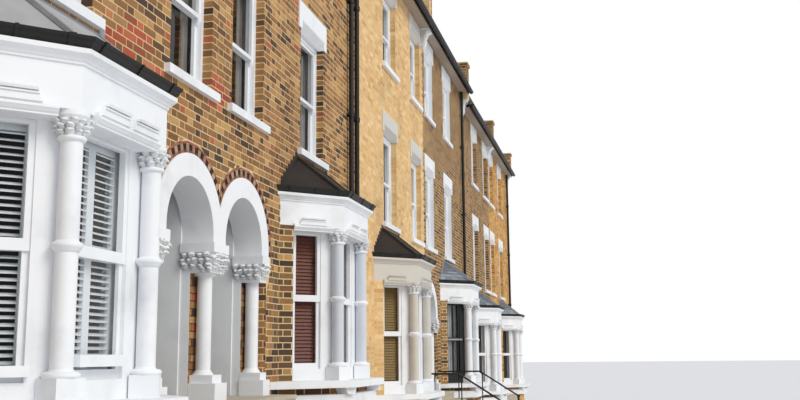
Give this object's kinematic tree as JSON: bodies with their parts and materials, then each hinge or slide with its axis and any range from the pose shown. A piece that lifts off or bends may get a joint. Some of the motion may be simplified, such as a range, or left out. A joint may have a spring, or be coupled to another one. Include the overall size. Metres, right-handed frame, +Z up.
{
  "type": "terraced house row",
  "caption": "Stepped row of tall brick town houses in mirrored pairs, each with a canted bay, a paired arched porch, sash windows and a slate roof.",
  "frame": {"origin": "centre of the row's box in plan, at the lowest ground level", "axes": "+X along the row from its highest pair of houses to its lowest; the street fronts face -Y; +Z up"},
  "size_m": [32.16, 10.675, 14.1154],
  "materials": {
    "stock_brick": "fired clay brick in lime mortar, matt",
    "red_brick": "rubbed red clay brick, matt",
    "red_clay": "fired clay tile, matt",
    "painted_stucco": "stone and stucco, smooth white masonry paint",
    "grey_render": "lime render, light grey paint",
    "buff_stone": "worn sandstone, matt",
    "slate": "split slate, matt",
    "grey_felt": "lead and mineral felt over boards, matt",
    "white_timber": "softwood, white gloss paint",
    "black_timber": "softwood, black paint",
    "blue_timber": "softwood, dark blue gloss paint",
    "floor_boards": "softwood boards on joists",
    "black_iron": "cast iron, black paint",
    "window_glass": "clear drawn glass"
  },
  "bodies": {
    "root": {"front_wall_left": "stock_brick", "front_wall_middle": "stock_brick", "front_wall_right": "stock_brick", "upper_wall_left": "stock_brick", "upper_wall_middle": "stock_brick", "upper_wall_right": "stock_brick", "rear_walls": "stock_brick", "party_walls": "stock_brick", "floors": "floor_boards", "roof_front": "slate", "roof_rear": "slate", "ridge_tiles": "red_clay", "parapet_ends": "stock_brick", "chimney_stacks": "stock_brick", "chimney_pots": "red_clay", "soffit_boards": "white_timber", "fascia_boards": "black_timber", "eaves_gutters": "black_iron", "downpipes": "black_iron", "eaves_corbels": "painted_stucco", "window_boxes": "white_timber", "window_glass": "window_glass", "window_sills": "painted_stucco", "window_lintels": "painted_stucco", "bay_bases": "stock_brick", "bay_ledges": "painted_stucco", "bay_piers": "stock_brick", "bay_frames": "white_timber", "bay_glass": "window_glass", "bay_columns": "painted_stucco", "bay_friezes": "painted_stucco", "bay_cornices": "painted_stucco", "bay_gutters": "black_iron", "bay_roofs": "grey_felt", "hood_moulds": "painted_stucco", "porch_arches": "painted_stucco", "brick_rings": "red_brick", "porch_columns": "painted_stucco", "porch_capitals": "painted_stucco", "lobby_walls": "stock_brick", "lobby_render": "grey_render", "front_doors": "blue_timber", "step_treads": "buff_stone", "step_bases": "stock_brick", "step_rails": "black_iron"}
  },
  "joints": []
}
